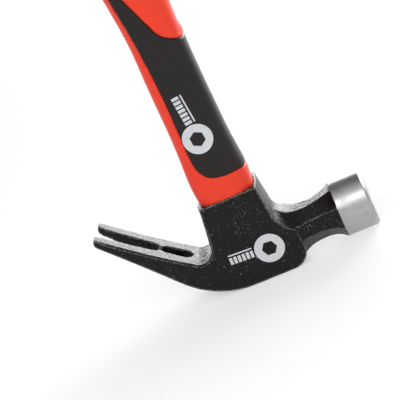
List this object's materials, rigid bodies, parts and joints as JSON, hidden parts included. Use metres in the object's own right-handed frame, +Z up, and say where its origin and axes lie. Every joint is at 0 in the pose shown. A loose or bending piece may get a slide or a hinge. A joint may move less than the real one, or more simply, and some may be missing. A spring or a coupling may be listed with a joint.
{
  "type": "claw hammer",
  "caption": "Claw hammer with a forged steel head, a curved split claw with a keyhole nail slot, and a red and black two-material handle on a glass-fibre rod.",
  "frame": {"origin": "on the handle's centre line at the flat crown of the head", "axes": "+Z up the handle from head to butt, +X toward the striking face, +Y across the cheeks"},
  "size_m": [0.1324, 0.0282, 0.33],
  "materials": {
    "forged_steel_black": "semi-gloss black paint over rough forged steel",
    "ground_steel": "bare steel, turned and ground",
    "fibreglass": "pultruded glass fibre in clear resin",
    "epoxy": "cast amber resin",
    "red_jacket": "satin moulded plastic",
    "black_soft": "fine matt thermoplastic rubber",
    "print_white": "white pad-printed ink"
  },
  "bodies": {
    "root": {"head": "forged_steel_black", "fibreglass_core": "fibreglass", "eye_epoxy": "epoxy", "handle_jacket": "red_jacket", "soft_grip": "black_soft"}
  },
  "joints": []
}
